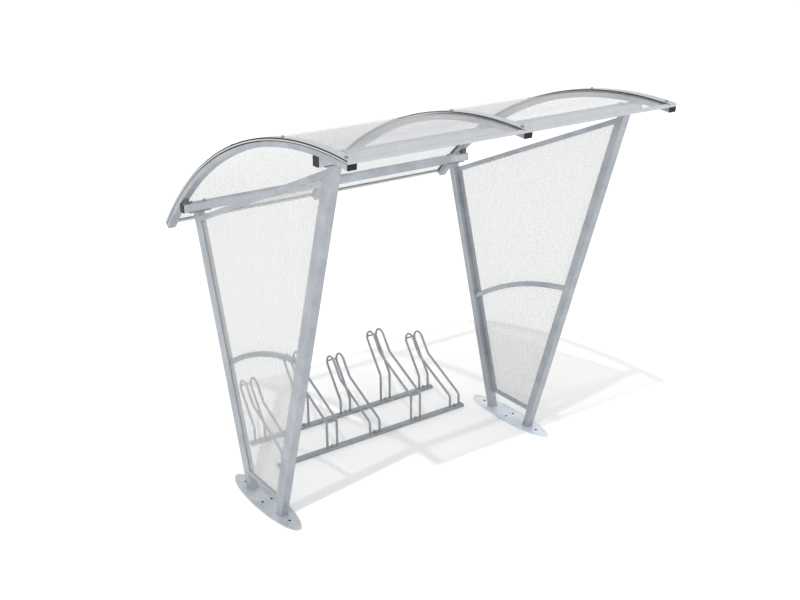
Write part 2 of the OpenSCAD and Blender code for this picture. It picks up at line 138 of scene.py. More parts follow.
class ShelterFixings(bpy.types.PropertyGroup):
    """Sizes of the bolts, weld beads, lips, caps and the dark linings that paint shade into the
    anchor holes
    """
    strip_bolt: length("Strip bolt", "Width across the flats of a strip bolt", 13)
    purlin_bolt: length("Purlin bolt", "Width across the flats of a purlin bolt", 19)
    purlin_bolt_reach: length("Purlin bolt reach",
                              "Distance of a purlin bolt from the middle of its post", 42)
    rail_bolt: length("Rail bolt", "Width across the flats of a rail bolt", 19)
    rail_cap: length("Rail cap", "How far a cap stands out past the section of its rail", 2)
    tape_past: length("Tape past", "How far the glazing tape shows past its channel", 1.2)
    tape_height: length("Tape height", "Thickness of the glazing tape", 0.2)
    strip_lip: length("Strip lip", "Width and height of a gasket lip beside a strip", 3.5)
    weld_bead: length("Weld bead", "Radius of a weld bead on the posts", 3.2)
    rack_bead: length("Rack bead", "Radius of a weld bead on the rack", 2.4)
    ripple: length("Ripple", "Distance from one ripple of a bead to the next", 4.5)
    top_plate: length("Top plate", "Thickness of the bolting plate on a post", 5)
    rod_radius: length("Rod radius", "Radius of the bent rods of the rack", 8)
    anchor_hole: length("Anchor hole", "Diameter of an anchor hole", 14)
    anchor_span: length("Anchor span", "Distance of the anchor holes at the ends of a plate", 540)
    anchor_cross: length("Anchor cross", "Distance of the anchor holes across a plate", 60)


class ShelterStage(bpy.types.PropertyGroup):
    """Camera, floor and light"""
    camera_place: FloatVectorProperty(name="Camera place", description="Where the camera stands",
                                      default=(-3.59094, -5.05111, 3.53182),
                                      subtype="TRANSLATION", unit="LENGTH")
    pan: angle("Pan", "Turn of the camera from the depth of the shelter", 35.032)
    tilt: angle("Tilt", "How far the camera looks down", 21.33)
    roll: angle("Roll", "Turn of the camera about its own view", -0.454)
    lens: factor("Lens", "Focal length in millimetres", 50.13)
    floor_size: length("Floor size", "Width of the floor", 400000)
    floor_tone: colour("Floor", "Colour of the floor", (0.95, 0.95, 0.95))
    sky_light: factor("Sky light", "Even light all round", 0.98)
    key_light: factor("Key light", "Strength of the soft key light", 1.2)
    key_spread: angle("Key spread", "Softness of the key light", 1.2)
    key_height: length("Key height", "Height of the key light's lamp", 6000)
    key_side: FloatVectorProperty(name="Key side", description="Way from the shelter to the light",
                                  default=(-0.514, -0.393, 1.0), subtype="DIRECTION")


def finishes():
    return bpy.context.scene.shelter_finishes


def fixings():
    return bpy.context.scene.shelter_fixings


def stage():
    return bpy.context.scene.shelter_stage


class Signal:
    """A number that varies over a surface; sums and products on it add Math nodes."""

    def __init__(self, tree, socket):
        self.tree = tree
        self.socket = socket

    def maths(self, operation, *values):
        return self.tree.add("ShaderNodeMath", {"operation": operation},
                             dict(zip(("Value", "Value_001"), values)))["Value"]

    def __add__(self, other):
        return self.maths("ADD", self, other)

    def __radd__(self, other):
        return self.maths("ADD", other, self)

    def __sub__(self, other):
        return self.maths("SUBTRACT", self, other)

    def __rsub__(self, other):
        return self.maths("SUBTRACT", other, self)

    def __mul__(self, other):
        return self.maths("MULTIPLY", self, other)

    def __rmul__(self, other):
        return self.maths("MULTIPLY", other, self)

    def __pow__(self, other):
        return self.maths("POWER", self, other)

    def cosine(self):
        return self.maths("COSINE", self)


class ShaderTree:
    """The node tree of one new material."""

    def __init__(self, name):
        self.material = bpy.data.materials.new(name)
        self.material.use_nodes = True
        self.nodes = self.material.node_tree.nodes
        self.links = self.material.node_tree.links
        self.nodes.clear()

    def add(self, kind, settings=None, sockets=None):
        """Adds a node, sets it up, feeds its sockets and returns its outputs by identifier."""
        node = self.nodes.new(kind)
        for setting, value in (settings or {}).items():
            setattr(node, setting, value)
        inputs = {socket.identifier: socket for socket in node.inputs}
        for identifier, value in (sockets or {}).items():
            if isinstance(value, Signal):
                self.links.new(value.socket, inputs[identifier])
            else:
                inputs[identifier].default_value = value
        return {socket.identifier: Signal(self, socket) for socket in node.outputs}

    def place(self):
        return self.add("ShaderNodeTexCoord")["Object"]

    def stretched_place(self, scale):
        return self.add("ShaderNodeVectorMath", {"operation": "MULTIPLY"},
                        {"Vector": self.place(), "Vector_001": scale})["Vector"]

    def axis(self, name):
        return self.add("ShaderNodeSeparateXYZ", None, {"Vector": self.place()})[name]

    def noise(self, place, scale, detail=2.0):
        return self.add("ShaderNodeTexNoise", None,
                        {"Vector": place, "Scale": scale, "Detail": detail})["Fac"]

    def crystals(self, place, scale):
        """A different even number from 0 to 1 on each crystal."""
        cell = self.add("ShaderNodeTexVoronoi", None, {"Vector": place, "Scale": scale})["Color"]
        return self.add("ShaderNodeSeparateColor", None, {"Color": cell})["Red"]

    def blend(self, mask, low, high):
        return self.add("ShaderNodeMix", {"data_type": "RGBA"},
                        {"Factor_Float": mask, "A_Color": (*low, 1),
                         "B_Color": (*high, 1)})["Result_Color"]

    def bump(self, height, strength, depth):
        return self.add("ShaderNodeBump", None,
                        {"Height": height, "Strength": strength, "Distance": depth})["Normal"]

    def principled(self, sockets):
        return self.add("ShaderNodeBsdfPrincipled", None, sockets)["BSDF"]

    def finish(self, shader):
        self.add("ShaderNodeOutputMaterial", None, {"Surface": shader})
        return self.material


def tinted(tone, amount):
    return [amount * channel for channel in tone]


def galvanised_steel(name, lift):
    """Hot-dip zinc: soft crystals, slow clouds and a fine tooth."""
    tones = finishes()
    tree = ShaderTree(name)
    place = tree.place()
    flake = tree.crystals(place, 1 / tones.spangle)
    cloud = tree.noise(place, 7.0, 3.0)
    tooth = tree.noise(place, 900.0)
    tone = 0.30 * flake + 1.5 * cloud - 0.40
    # A lift above 1 draws a paler copy of the coat: painted light on some parts, a painted
    # reflection on the far base plate
    return tree.finish(tree.principled({
        "Base Color": tree.blend(tone, tinted(tones.steel_dark, lift),
                                 tinted(tones.steel_light, lift)),
        "Metallic": 0.55,
        "Roughness": 0.40 + 0.12 * flake + 0.10 * cloud,
        "Normal": tree.bump(tooth + 0.6 * flake, 0.10, 0.0006),
    }))


def rack_steel(name):
    """Darker zinc on the rack, with streaks that run up the rods."""
    tones = finishes()
    tree = ShaderTree(name)
    cloud = tree.noise(tree.place(), 22.0, 3.0)
    streak = tree.noise(tree.stretched_place((260.0, 260.0, 30.0)), 1.0)
    tooth = tree.noise(tree.place(), 1100.0)
    tone = 1.2 * cloud + 0.6 * streak - 0.40
    return tree.finish(tree.principled({
        "Base Color": tree.blend(tone, tones.rack_dark, tones.rack_light),
        "Metallic": 0.60,
        "Roughness": 0.38 + 0.18 * streak,
        "Normal": tree.bump(tooth, 0.12, 0.0005),
    }))


def cellular_sheet(name, rib_axis, cover):
    """Two thin skins with ribs between them, which repeat along one axis."""
    tones = finishes()
    tree = ShaderTree(name)
    turns = tree.axis(rib_axis) * (2 * math.pi / tones.rib_pitch)
    wave = 0.5 + 0.5 * turns.cosine()
    rib = wave ** 4
    clear = tree.add("ShaderNodeBsdfTransparent", None, {"Color": (1, 1, 1, 1)})["BSDF"]
    face = tree.principled({
        "Base Color": tree.blend(rib, tones.sheet_tone, tinted(tones.sheet_tone, 0.965)),
        "Roughness": 0.24 + 0.08 * tree.noise(tree.place(), 60.0),
        "Normal": tree.bump(wave, 0.05, 0.0006),
    })
    glow = tree.add("ShaderNodeBsdfTranslucent", None, {"Color": (*tones.sheet_tone, 1)})["BSDF"]
    milk = tree.add("ShaderNodeMixShader", None,
                    {"Fac": tones.sheet_glow, "Shader": face, "Shader_001": glow})["Shader"]
    return tree.finish(tree.add("ShaderNodeMixShader", None,
                                {"Fac": cover - 0.02 + 0.05 * rib, "Shader": clear,
                                 "Shader_001": milk})["Shader"])


def moulded(name, tone, roughness, grain):
    """Moulded plastic or rubber with a fine grain."""
    tree = ShaderTree(name)
    speck = tree.noise(tree.place(), grain, 3.0)
    cloud = tree.noise(tree.place(), 18.0)
    return tree.finish(tree.principled({
        "Base Color": tree.blend(cloud, tinted(tone, 0.8), tinted(tone, 1.3)),
        "Specular IOR Level": 0.22,
        "Roughness": roughness + 0.15 * speck,
        "Normal": tree.bump(speck, 0.25, 0.0005),
    }))


def extruded_aluminium(name):
    """Bare strip with fine die lines along the arc, which repeat across its width."""
    tones = finishes()
    tree = ShaderTree(name)
    lines = tree.noise(tree.stretched_place((1400.0, 3.0, 3.0)), 1.0)
    cloud = tree.noise(tree.place(), 9.0)
    dark = tinted(tones.aluminium_tone, 0.82)
    return tree.finish(tree.principled({
        "Base Color": tree.blend(0.5 * lines + 0.5 * cloud, dark, tones.aluminium_tone),
        "Metallic": 0.75,
        "Roughness": 0.30 + 0.14 * lines,
        "Normal": tree.bump(lines, 0.08, 0.0004),
    }))


def bright_zinc(name):
    """Bright zinc on bolts, nuts and washers."""
    tones = finishes()
    tree = ShaderTree(name)
    speck = tree.noise(tree.place(), 420.0)
    return tree.finish(tree.principled({
        "Base Color": tree.blend(speck, tinted(tones.zinc_tone, 0.75), tones.zinc_tone),
        "Metallic": 0.85,
        "Roughness": 0.28 + 0.16 * speck,
    }))


def weld_metal(name):
    """Weld bead under the zinc coat, a little duller than the tubes."""
    tones = finishes()
    tree = ShaderTree(name)
    heat = tree.noise(tree.place(), 160.0, 3.0)
    return tree.finish(tree.principled({
        "Base Color": tree.blend(heat, tinted(tones.steel_dark, 0.72), tones.steel_light),
        "Metallic": 0.55,
        "Roughness": 0.42 + 0.20 * heat,
        "Normal": tree.bump(heat, 0.20, 0.0006),
    }))


def floor_paint(name):
    """Pale studio floor with a barely seen cloud."""
    tree = ShaderTree(name)
    cloud = tree.noise(tree.place(), 0.8)
    tone = stage().floor_tone
    return tree.finish(tree.principled({
        "Base Color": tree.blend(cloud, tinted(tone, 0.99), tone),
        "Roughness": 0.9,
    }))


def shared(make, name, *values):
    """The material of that name, made the first time that it is asked for."""
    return bpy.data.materials.get(name) or make(name, *values)


def rubber():
    return shared(moulded, "moulded_rubber", finishes().rubber_tone, 0.60, 500.0)


def plastic():
    return shared(moulded, "moulded_plastic", finishes().plastic_tone, 0.38, 700.0)


def rack_zinc():
    return shared(rack_steel, "rack_zinc_coat")


def aluminium():
    return shared(extruded_aluminium, "extruded_aluminium")


def fixing():
    return shared(bright_zinc, "zinc_fixing")


def dress(nodes, material):
    """Gives CAD nodes a material in all their slots."""
    for name in nodes:
        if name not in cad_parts:
            raise RuntimeError(f"the frame has no node {name}")
        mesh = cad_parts[name].data
        mesh.materials.clear()
        mesh.materials.append(material)


class Shape:
    """Points and faces of a piece that is put together from several forms."""

    def __init__(self):
        self.points = []
        self.faces = []

    def add(self, points, faces, placing=Matrix()):
        start = len(self.points)
        self.points += [placing @ Vector(point) for point in points]
        self.faces += [[start + corner for corner in face] for face in faces]

    def piece(self, name, material, slot):
        mesh = bpy.data.meshes.new(name)
        mesh.from_pydata(self.points, [], self.faces)
        mesh.validate()
        solid = bmesh.new()
        solid.from_mesh(mesh)
        bmesh.ops.recalc_face_normals(solid, faces=solid.faces)
        solid.to_mesh(mesh)
        solid.free()
        mesh.materials.append(material)
        mesh.shade_smooth()
        mesh.set_sharp_from_angle(angle=CREASE)
        piece = bpy.data.objects.new(name, mesh)
        bpy.context.scene.collection.objects.link(piece)
        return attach(piece, BODY)


def joined(loops, rows):
    """Points of some loops and the faces that join each of the first rows to the one after it."""
    count = len(loops[0])
    points = [point for loop in loops for point in loop]
    faces = []
    for row in range(rows):
        beyond = (row + 1) % len(loops)
        for number in range(count):
            after = (number + 1) % count
            faces.append((row * count + number, row * count + after,
                          beyond * count + after, beyond * count + number))
    return points, faces


def ring_of(loops):
    """Skin whose last loop joins the first one again."""
    return joined(loops, len(loops))


def skin(loops):
    """Skin over loops with the same number of points, closed at its first and last loop."""
    points, faces = joined(loops, len(loops) - 1)
    faces.append(tuple(reversed(range(len(loops[0])))))
    faces.append(tuple(range(len(points) - len(loops[0]), len(points))))
    return points, faces


def rings(radii_and_heights):
    """Skin over rings about Z, each given as a radius and a height for every step."""
    loops = []
    for ring in radii_and_heights:
        turns = [2 * math.pi * step / len(ring) for step in range(len(ring))]
        loops.append([(radius * math.cos(turn), radius * math.sin(turn), height)
                      for turn, (radius, height) in zip(turns, ring)])
    return skin(loops)


def turned(profile):
    """Solid of revolution from (radius, height) pairs, from the bottom to the top."""
    return rings([[pair] * TURNED_STEPS for pair in profile])


def hex_head(across_flats, height):
    """Hexagon whose upper corners are turned off to a cone, with a shallow mark-free top."""
    apothem = across_flats / 2
    crown = 0.94 * apothem
    slope = math.tan(math.radians(30))
    base, shoulder = [], []
    for step in range(TURNED_STEPS):
        off = (2 * math.pi * step / TURNED_STEPS) % (math.pi / 3) - math.pi / 6
        reach = apothem / math.cos(off)
        base.append((reach, 0.0))
        shoulder.append((reach, height - (reach - crown) * slope))
    return rings([base, shoulder, [(crown, height)] * TURNED_STEPS])


def washer(radius, thickness):
    edge = 0.25 * thickness
    return turned([(radius, 0.0), (radius, thickness - edge), (radius - edge, thickness)])


def facing(place, normal, twist=0.0):
    """Placing that stands a form's Z axis along a normal."""
    turn = UP.rotation_difference(Vector(normal).normalized()).to_matrix().to_4x4()
    return Matrix.Translation(place) @ turn @ Matrix.Rotation(twist, 4, "Z")


def middle(node):
    low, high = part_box(node)
    return (low + high) / 2


def end_points(node, direction, reach=0.0002):
    """Points of a node that lie furthest along a direction."""
    points = [vertex.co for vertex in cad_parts[node].data.vertices]
    furthest = max(point.dot(direction) for point in points)
    return [point for point in points if point.dot(direction) > furthest - reach]


def spread(points, axis):
    """Lowest and highest place of some points along an axis."""
    places = [point.dot(axis) for point in points]
    return min(places), max(places)


def roof_circle():
    """Centre and radius of the upper face of the cover strips, from three of its points."""
    points = [vertex.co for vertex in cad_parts["cover_strip_middle"].data.vertices]
    front = min(points, key=lambda point: point.y)
    to_crown = max(points, key=lambda point: point.z) - front
    to_rear = max(points, key=lambda point: point.y) - front
    determinant = 2 * (to_crown.y * to_rear.z - to_crown.z * to_rear.y)
    crown_square = to_crown.y ** 2 + to_crown.z ** 2
    rear_square = to_rear.y ** 2 + to_rear.z ** 2
    y = front.y + (to_rear.z * crown_square - to_crown.z * rear_square) / determinant
    z = front.z + (to_crown.y * rear_square - to_rear.y * crown_square) / determinant
    return Vector((0, y, z)), math.hypot(front.y - y, front.z - z)


def roof_reach(node):
    """Lowest and highest radius and turn of a node about the centre of the roof."""
    centre, _ = roof_circle()
    spots = [vertex.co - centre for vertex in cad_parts[node].data.vertices]
    radii = [math.hypot(spot.y, spot.z) for spot in spots]
    turns = [math.atan2(spot.y, spot.z) for spot in spots]
    return min(radii), max(radii), min(turns), max(turns)


def tapered(table, part):
    """Value at a part of a length, between the (part, value) pairs of a table."""
    for (before, low), (after, high) in zip(table, table[1:]):
        if part <= after:
            return low + (high - low) * (part - before) / (after - before)


def roof_strip(section, start, end):
    """Skin of a strip that follows the roof, whose section gives (x, radius) pairs at each part."""
    centre, _ = roof_circle()
    loops = []
    for step in range(ARC_STEPS + 1):
        part = step / ARC_STEPS
        turn = start + (end - start) * part
        out = Vector((0, math.sin(turn), math.cos(turn)))
        loops.append([centre + radius * out + x * X_AXIS for x, radius in section(part)])
    return skin(loops)


def inset(corners, distances):
    """Corners of an outline across X after each side, from its corner to the next, moves inward."""
    centre = sum(corners, Vector()) / len(corners)
    sides = []
    for number, start in enumerate(corners):
        end = corners[(number + 1) % len(corners)]
        inward = X_AXIS.cross(end - start).normalized()
        inward *= math.copysign(distances[number], inward.dot(centre - start))
        sides.append((start + inward, end + inward))
    return [intersect_line_line(*sides[number - 1], *sides[number])[0]
            for number in range(len(corners))]


def sheet_corners(node):
    """Corners of a side sheet: front and rear along the bottom, then rear and front on top."""
    centre = middle(node)
    spots = {(round(vertex.co.y, 4), round(vertex.co.z, 4))
             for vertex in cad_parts[node].data.vertices}
    return [Vector((0, y, z)) for y, z in
            sorted(spots, key=lambda spot: math.atan2(spot[1] - centre.z, spot[0] - centre.y))]


def rounded_loop(half_u, half_v, corner, spacing):
    """Even points round a rectangle with round corners."""
    outline = []
    corner_steps = 6
    for quarter, (su, sv) in enumerate(((1, 1), (-1, 1), (-1, -1), (1, -1))):
        for step in range(corner_steps + 1):
            turn = math.pi / 2 * (quarter + step / corner_steps)
            outline.append(Vector((su * (half_u - corner) + corner * math.cos(turn),
                                   sv * (half_v - corner) + corner * math.sin(turn))))
    lengths = [(outline[(i + 1) % len(outline)] - point).length
               for i, point in enumerate(outline)]
    count = round(sum(lengths) / spacing)
    even = []
    for number in range(count):
        rest = sum(lengths) * number / count
        i = 0
        while rest > lengths[i]:
            rest -= lengths[i]
            i += 1
        even.append(outline[i].lerp(outline[(i + 1) % len(outline)], rest / lengths[i]))
    return even


def weld_loop(shape, centre, u, v, half_u, half_v, corner, bead):
    """Rippled bead round a tube or rod, in the plane of two directions."""
    pieces_per_ripple = 4
    path = rounded_loop(half_u, half_v, corner, fixings().ripple / pieces_per_ripple)
    path = path[:len(path) - len(path) % pieces_per_ripple]
    turns = [2 * math.pi * side / BEAD_SIDES for side in range(BEAD_SIDES)]
    loops = []
    for number, place in enumerate(path):
        phase = 2 * math.pi * (number % pieces_per_ripple) / pieces_per_ripple
        radius = bead * (1 + 0.12 * math.cos(phase))
        outward = (path[(number + 1) % len(path)] - path[number - 1]).normalized()
        outward = Vector((outward.y, -outward.x))
        spine = centre + place.x * u + place.y * v
        out = outward.x * u + outward.y * v
        loops.append([spine + radius * (math.cos(turn) * out + math.sin(turn) * u.cross(v))
                      for turn in turns])
    shape.add(*ring_of(loops))


class ShelterOperator:
    """What the operators of the shelter share."""
    bl_options = {"REGISTER", "UNDO"}


class SHELTER_OT_finish_steelwork(ShelterOperator, bpy.types.Operator):
    """Gives the frame, the base plates and the roof arches their zinc coat"""
    bl_idname = "shelter.finish_steelwork"
    bl_label = "Finish Steelwork"

    def execute(self, context):
        tones = finishes()
        # The two paler copies of the zinc coat below are painted light and a painted reflection,
        # not a different steel
        for nodes, name, lift in ((STEELWORK, "zinc_coat", 1.0),
                                  (PAINTED_LIGHT_STEELWORK, "bright_zinc_coat", tones.painted_light_lift),
                                  (PAINTED_REFLECTION_STEELWORK, "pale_zinc_coat", tones.painted_reflection_lift)):
            dress(nodes, shared(galvanised_steel, name, lift))
        return {"FINISHED"}


class SHELTER_OT_finish_rack(ShelterOperator, bpy.types.Operator):
    """Gives the rails and the wheel holders their darker zinc coat"""
    bl_idname = "shelter.finish_rack"
    bl_label = "Finish Rack"

    def execute(self, context):
        dress(RAILS + HOLDERS, rack_zinc())
        return {"FINISHED"}


class SHELTER_OT_glaze_sides(ShelterOperator, bpy.types.Operator):
    """Gives the side panels their cellular sheet, with upright ribs"""
    bl_idname = "shelter.glaze_sides"
    bl_label = "Glaze Sides"

    def execute(self, context):
        dress(SIDE_SHEETS, shared(cellular_sheet, "side_sheet", "Y", finishes().side_cover))
        return {"FINISHED"}


class SHELTER_OT_glaze_roof(ShelterOperator, bpy.types.Operator):
    """Gives the roof its cellular sheets, with ribs from front to back"""
    bl_idname = "shelter.glaze_roof"
    bl_label = "Glaze Roof"

    def execute(self, context):
        dress(ROOF_SHEETS, shared(cellular_sheet, "roof_sheet", "X", finishes().roof_cover))
        return {"FINISHED"}


class SHELTER_OT_finish_trim(ShelterOperator, bpy.types.Operator):
    """Finishes the end caps, gaskets, wedges, cover strips and edge profiles"""
    bl_idname = "shelter.finish_trim"
    bl_label = "Finish Trim"

    def execute(self, context):
        dress(PLASTIC, plastic())
        dress(GASKETS, rubber())
        dress(["rear_wedges"], shared(moulded, "moulded_wedge", finishes().wedge_tone, 0.60, 500.0))
        dress(ALUMINIUM, aluminium())
        return {"FINISHED"}


class SHELTER_OT_line_sheet_edges(ShelterOperator, bpy.types.Operator):
    """Closes the outer edges of the roof sheets with a pale strip between two gasket lips; the
    upper lip is thickened towards the front as painted shade under the cover strip
    """
    bl_idname = "shelter.line_sheet_edges"
    bl_label = "Line Sheet Edges"

    def execute(self, context):
        proud, bevel, under = 0.5 * MILLIMETRE, 0.2 * MILLIMETRE, 0.4 * MILLIMETRE
        # Millimetres past the faces of the sheet, at parts of the way from front to rear
        upper_foot = ((0, -2.0), (0.3, -2.2), (0.5, -1.8), (0.65, -1.0), (0.78, 0.6), (1, 1.0))
        # The upper lip is a real gasket made thicker towards the front, so that it also stands for
        # painted shade under the cover strip
        upper_top_and_shade = ((0, 5.4), (0.3, 5.0), (0.45, 4.8), (0.6, 3.4), (0.78, 2.0), (1, 1.8))
        lower_foot = ((0, -2.0), (0.25, -2.2), (0.35, -5.2), (0.5, -6.6), (0.62, -5.8),
                      (0.75, -3.8), (0.88, -2.4), (1, -2.0))
        for side, end in zip(SIDES, (0, 1)):
            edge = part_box(f"roof_sheet_{side}")[end].x
            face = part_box(f"roof_arch_{side}")[end].x
            over = face + math.copysign(proud, face)
            flush = (face + over) / 2
            low, high, start, stop = roof_reach(f"roof_sheet_{side}")

            def upper(part):
                foot = high + tapered(upper_foot, part) * MILLIMETRE
                top = high + tapered(upper_top_and_shade, part) * MILLIMETRE
                return [(edge, foot), (over, foot + bevel), (over, top - bevel), (face, top)]

            def pale(part):
                foot = low + under
                top = high + tapered(upper_foot, part) * MILLIMETRE + bevel
                return [(edge, foot), (flush, foot + bevel), (flush, top - bevel), (edge, top)]

            def lower(part):
                foot = low + tapered(lower_foot, part) * MILLIMETRE
                top = low + under + bevel
                return [(edge, top), (over, top - bevel), (over, foot + bevel), (face, foot),
                        (face, low), (edge, low)]

            strip, lips = Shape(), Shape()
            strip.add(*roof_strip(pale, start, stop))
            for section in (upper, lower):
                lips.add(*roof_strip(section, start, stop))
            strip.piece(f"sheet_edge_strip_{side}", aluminium(), "pale_aluminium")
            lips.piece(f"sheet_edge_lips_{side}", rubber(), "dark_rubber")
        return {"FINISHED"}


class SHELTER_OT_lay_glazing_tape(ShelterOperator, bpy.types.Operator):
    """Lays the pale tape between the side sheets and the lips of their channels, as painted light
    in the shaded hollow under the lips
    """
    bl_idname = "shelter.lay_glazing_tape"
    bl_label = "Lay Glazing Tape"

    def execute(self, context):
        past, height = fixings().tape_past, fixings().tape_height
        tuck, deeper = 1 * MILLIMETRE, 4 * MILLIMETRE
        # The tape's pale colour is painted light that lightens the shaded hollow under the channel
        # lips, seen through the sheet
        material = shared(moulded, "glazing_tape", finishes().painted_light_tape_tone, 0.55, 500.0)
        for side in SIDES:
            sheet = f"side_panel_{side}"
            corners = sheet_corners(sheet)
            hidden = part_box(f"side_bottom_bar_{side}")[1].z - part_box(sheet)[0].z
            lips = (hidden, *[hidden + deeper] * 3)
            outer = inset(corners, [tuck] * 4)
            bend = inset(corners, lips)
            inner = inset(corners, [lip + past for lip in lips])
            tape = Shape()
            for end, sign in X_ENDS:
                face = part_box(sheet)[end].x
                tape.add(*ring_of([
                    [place + (face + sign * rise * height) * X_AXIS for place in outline]
                    for outline, rise in ((outer, 0.1), (outer, 1), (bend, 1), (inner, 0.5),
                                          (inner, 0.1))]))
            tape.piece(f"glazing_tape_{side}", material, "pale_aluminium")
        return {"FINISHED"}


class SHELTER_OT_lay_strip_lips(ShelterOperator, bpy.types.Operator):
    """Lays the rounded gasket lips that show beside the cover strips"""
    bl_idname = "shelter.lay_strip_lips"
    bl_label = "Lay Strip Lips"

    def execute(self, context):
        lip = fixings().strip_lip
        steps = 4
        quarter = [math.pi / 2 * step / steps for step in range(steps + 1)]
        _, base, start, stop = roof_reach(ROOF_SHEETS[0])
        for bay in BAYS:
            lips = Shape()
            for end, sign in X_ENDS:
                if (bay, end) in (("left", 0), ("right", 1)):
                    continue
                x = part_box(f"cover_strip_{bay}")[end].x
                section = [(x, base)]
                section += [(x + sign * lip * math.cos(turn), base + lip * math.sin(turn))
                            for turn in quarter]
                lips.add(*roof_strip(lambda part: section, start, stop))
            lips.piece(f"strip_lips_{bay}", rubber(), "dark_rubber")
        return {"FINISHED"}


class SHELTER_OT_fit_strip_bolts(ShelterOperator, bpy.types.Operator):
    """Fits the bolts with sealing washers that hold the cover strips on the arches"""
    bl_idname = "shelter.fit_strip_bolts"
    bl_label = "Fit Strip Bolts"

    def execute(self, context):
        centre, radius = roof_circle()
        width = fixings().strip_bolt
        seal, seal_radius = 1.5 * MILLIMETRE, 0.72 * width
        plate, plate_radius = 1.2 * MILLIMETRE, 0.80 * width
        head = 0.42 * width
        bolt_turns = [math.radians(degrees) for degrees in (-5.3, 8.25, 21.7, 35.2, 46.5)]
        for bay in BAYS:
            bolts, seals = Shape(), Shape()
            x = middle(f"cover_strip_{bay}").x
            for number, turn in enumerate(bolt_turns):
                out = Vector((0, math.sin(turn), math.cos(turn)))
                seat = centre + radius * out + x * X_AXIS
                seals.add(*washer(seal_radius, seal), facing(seat, out))
                bolts.add(*washer(plate_radius, plate), facing(seat + seal * out, out))
                bolts.add(*hex_head(width, head), facing(seat + (seal + plate) * out, out, number))
            seals.piece(f"strip_seals_{bay}", rubber(), "dark_rubber")
            bolts.piece(f"strip_bolts_{bay}", fixing(), "galvanised_steel")
        return {"FINISHED"}


class SHELTER_OT_fit_purlin_bolts(ShelterOperator, bpy.types.Operator):
    """Fits the bolts that go through the purlins into the plates on the posts"""
    bl_idname = "shelter.fit_purlin_bolts"
    bl_label = "Fit Purlin Bolts"

    def execute(self, context):
        sizes = fixings()
        width = sizes.purlin_bolt
        thick, head, shank = 2.5 * MILLIMETRE, 0.42 * width, 0.3 * width
        for row in ("front", "rear"):
            bolts = Shape()
            low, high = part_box(f"{row}_purlin")
            y = (low.y + high.y) / 2
            for side in SIDES:
                for sign in (-1, 1):
                    x = middle(f"{row}_post_{side}").x + sign * sizes.purlin_bolt_reach
                    seat = Vector((x, y, high.z))
                    bolts.add(*washer(0.62 * width, thick), facing(seat, UP))
                    bolts.add(*hex_head(width, head), facing(seat + thick * UP, UP, sign + x))
                    under = Vector((x, y, low.z - sizes.top_plate))
                    bolts.add(*turned([(shank, 0), (shank, thick), (0.85 * shank, 1.3 * thick)]),
                              facing(under, -UP))
            bolts.piece(f"purlin_bolts_{row}", fixing(), "galvanised_steel")
        return {"FINISHED"}


class SHELTER_OT_lay_frame_welds(ShelterOperator, bpy.types.Operator):
    """Lays the weld beads round both ends of the posts and of the arched crossbars"""
    bl_idname = "shelter.lay_frame_welds"
    bl_label = "Lay Frame Welds"

    def execute(self, context):
        sizes = fixings()
        corner = 6 * MILLIMETRE
        bar_bead = 0.7 * sizes.weld_bead
        for side in SIDES:
            beads = Shape()
            for row in ("front", "rear"):
                post = f"{row}_post_{side}"
                foot = end_points(post, -UP)
                x_low, x_high = spread(foot, X_AXIS)
                y_low, y_high = spread(foot, Y_AXIS)
                half_x, half_y = (x_high - x_low) / 2, (y_high - y_low) / 2
                base = Vector(((x_low + x_high) / 2, (y_low + y_high) / 2, foot[0].z))
                weld_loop(beads, base, X_AXIS, Y_AXIS, half_x, half_y, corner, sizes.weld_bead)
                top = sum(end_points(post, UP), Vector()) / len(end_points(post, UP))
                under = base.lerp(top, (top.z - sizes.top_plate - base.z) / (top.z - base.z))
                weld_loop(beads, under, X_AXIS, Y_AXIS, half_x, half_y, corner, sizes.weld_bead)
                along = (top - base).normalized()
                toward = X_AXIS.cross(along) * (-1 if row == "front" else 1)
                tip = end_points(f"side_arched_bar_{side}", toward)
                bar_low, bar_high = spread(tip, along)
                bar_x = spread(tip, X_AXIS)
                join = sum(tip, Vector()) / len(tip)
                join += along * ((bar_low + bar_high) / 2 - join.dot(along))
                join.x = sum(bar_x) / 2
                weld_loop(beads, join, X_AXIS, along, (bar_x[1] - bar_x[0]) / 2,
                          (bar_high - bar_low) / 2, corner / 2, bar_bead)
            beads.piece(f"frame_welds_{side}", shared(weld_metal, "weld_metal"),
                        "galvanised_steel")
        return {"FINISHED"}


class SHELTER_OT_lay_rack_welds(ShelterOperator, bpy.types.Operator):
    """Lays the weld beads round the feet of the wheel holders"""
    bl_idname = "shelter.lay_rack_welds"
    bl_label = "Lay Rack Welds"

    def execute(self, context):
        sizes = fixings()
        radius = sizes.rod_radius
        for holder in HOLDERS:
            beads = Shape()
            low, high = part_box(holder)
            for rail in RAILS:
                for x in (low.x + radius, high.x - radius):
                    foot = Vector((x, middle(rail).y, low.z))
                    weld_loop(beads, foot, X_AXIS, Y_AXIS, radius, radius, 0.999 * radius,
                              sizes.rack_bead)
            beads.piece(f"{holder}_welds", rack_zinc(), "rack_steel")
        return {"FINISHED"}


class SHELTER_OT_fit_rail_bolts(ShelterOperator, bpy.types.Operator):
    """Fits the ground bolts of the rack, one between the feet of each holder"""
    bl_idname = "shelter.fit_rail_bolts"
    bl_label = "Fit Rail Bolts"

    def execute(self, context):
        width = fixings().rail_bolt
        thick, head = 2.5 * MILLIMETRE, 0.55 * width
        for rail in RAILS:
            bolts = Shape()
            for holder in HOLDERS:
                x = middle(holder).x
                seat = Vector((x, middle(rail).y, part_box(rail)[1].z))
                bolts.add(*washer(0.66 * width, thick), facing(seat, UP))
                bolts.add(*hex_head(width, head), facing(seat + thick * UP, UP, 3 * x))
            bolts.piece(f"{rail}_bolts", rack_zinc(), "rack_steel")
        return {"FINISHED"}


